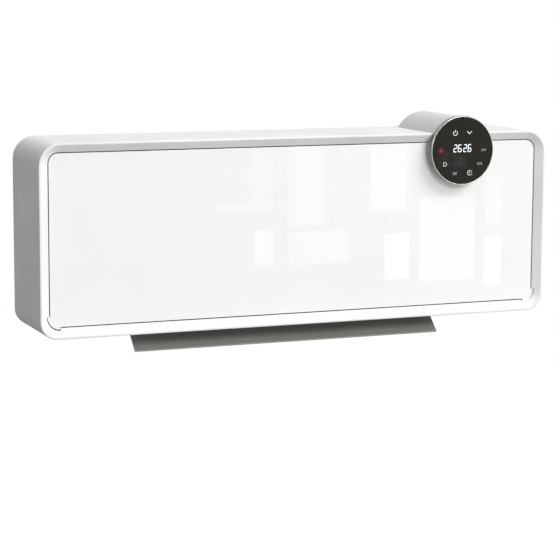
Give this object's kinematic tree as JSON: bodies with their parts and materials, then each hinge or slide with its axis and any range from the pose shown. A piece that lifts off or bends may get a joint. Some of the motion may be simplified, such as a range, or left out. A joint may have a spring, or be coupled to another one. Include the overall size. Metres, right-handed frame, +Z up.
{
  "type": "ceramic wall heater",
  "caption": "Wall-hung fan heater: box casing with a flat front panel, a round display pod with a turning dial, a ceramic element and a driven outlet flap underneath.",
  "frame": {"origin": "middle of the casing's width and height on the wall plane, on the wall bracket's rear face", "axes": "+X to the right seen from the front, along the casing; +Y into the wall; +Z up"},
  "size_m": [0.5451, 0.117, 0.2291],
  "materials": {
    "shell_white": "satin moulded white",
    "panel_white": "high gloss white",
    "cover_white": "fine texture",
    "bracket_steel": "zinc grey",
    "pad_rubber": "matt",
    "screw_steel": "zinc plated",
    "pod_silver": "satin silver grey",
    "dial_metal": "knurled, dark anodised",
    "trim_bright": "polished",
    "lens_black": "high gloss",
    "board_green": "solder mask",
    "black_plastic": "moulded",
    "spring_steel": "bright",
    "led_red": "clear red",
    "fan_grey": "moulded",
    "shaft_steel": "ground",
    "core_steel": "stacked sheets",
    "coil_copper": "enamelled winding",
    "duct_grey": "heat resistant",
    "element_aluminium": "mill finish",
    "ceramic": "sintered ceramic",
    "cap_black": "heat resistant",
    "terminal_brass": "tin plated",
    "grille_black": "heat resistant",
    "flap_grey": "satin dark grey",
    "motor_zinc": "zinc plated",
    "relay_black": "moulded",
    "capacitor_yellow": "moulded",
    "transformer_tape": "taped winding",
    "terminal_white": "moulded",
    "gland_black": "matt",
    "lead_black": "insulated lead",
    "lead_red": "insulated lead"
  },
  "bodies": {
    "heater": {"front_shell": "shell_white", "front_panel": "panel_white", "rear_cover": "cover_white", "wall_bracket": "bracket_steel", "wall_pads": "pad_rubber", "cover_screws": "screw_steel", "cord_gland": "gland_black", "pod_housing": "pod_silver", "pod_rear_cap": "pod_silver", "pod_screws": "screw_steel", "display_lens": "lens_black", "display_board": "board_green", "led_display": "black_plastic", "touch_springs": "spring_steel", "heat_led": "led_red", "infrared_receiver": "black_plastic", "fan_bush": "gland_black", "fan_motor_core": "core_steel", "fan_motor_coil": "coil_copper", "fan_bracket_inner": "motor_zinc", "fan_bracket_outer": "motor_zinc", "fan_motor_screws": "screw_steel", "duct_rear": "duct_grey", "duct_front": "duct_grey", "duct_end_left": "duct_grey", "duct_end_right": "duct_grey", "outlet_grille": "grille_black", "element_fins": "element_aluminium", "element_tubes": "element_aluminium", "ceramic_stones": "ceramic", "element_end_caps": "cap_black", "element_terminals": "terminal_brass", "thermal_cutout": "motor_zinc", "flap_bush": "cap_black", "swing_motor": "motor_zinc", "swing_motor_screws": "screw_steel", "power_board": "board_green", "board_screws": "screw_steel", "relays": "relay_black", "filter_capacitor": "capacitor_yellow", "transformer": "transformer_tape", "terminal_block": "terminal_white", "lead_connectors": "terminal_white", "switch_body": "black_plastic", "display_lead": "lead_black", "motor_lead": "lead_black", "element_leads": "lead_red"},
    "flap": {"outlet_flap": "flap_grey", "flap_pin": "shaft_steel", "swing_motor_shaft": "shaft_steel"},
    "fan": {"fan_impeller": "fan_grey", "fan_stub_shaft": "shaft_steel", "fan_motor_rotor": "shaft_steel"},
    "dial": {"dial_ring": "dial_metal", "dial_trim": "trim_bright"},
    "rocker": {"switch_rocker": "black_plastic"}
  },
  "joints": [
    {"name": "flap_swing", "type": "hinge", "parent": "heater", "child": "flap", "pos_m": [0, -0.0515, -0.085], "axis": [1, 0, 0], "range_deg": [-42, 38]},
    {"name": "fan_spin", "type": "hinge", "parent": "heater", "child": "fan", "pos_m": [0, -0.0585, -0.002], "axis": [1, 0, 0], "continuous": true},
    {"name": "dial_turn", "type": "hinge", "parent": "heater", "child": "dial", "pos_m": [0.1716, -0.11, 0.076], "axis": [0, -1, 0], "continuous": true},
    {"name": "switch_rock", "type": "hinge", "parent": "heater", "child": "rocker", "pos_m": [0.2659, -0.062, -0.0395], "axis": [0, 1, 0], "range_deg": [-14, 0]}
  ]
}
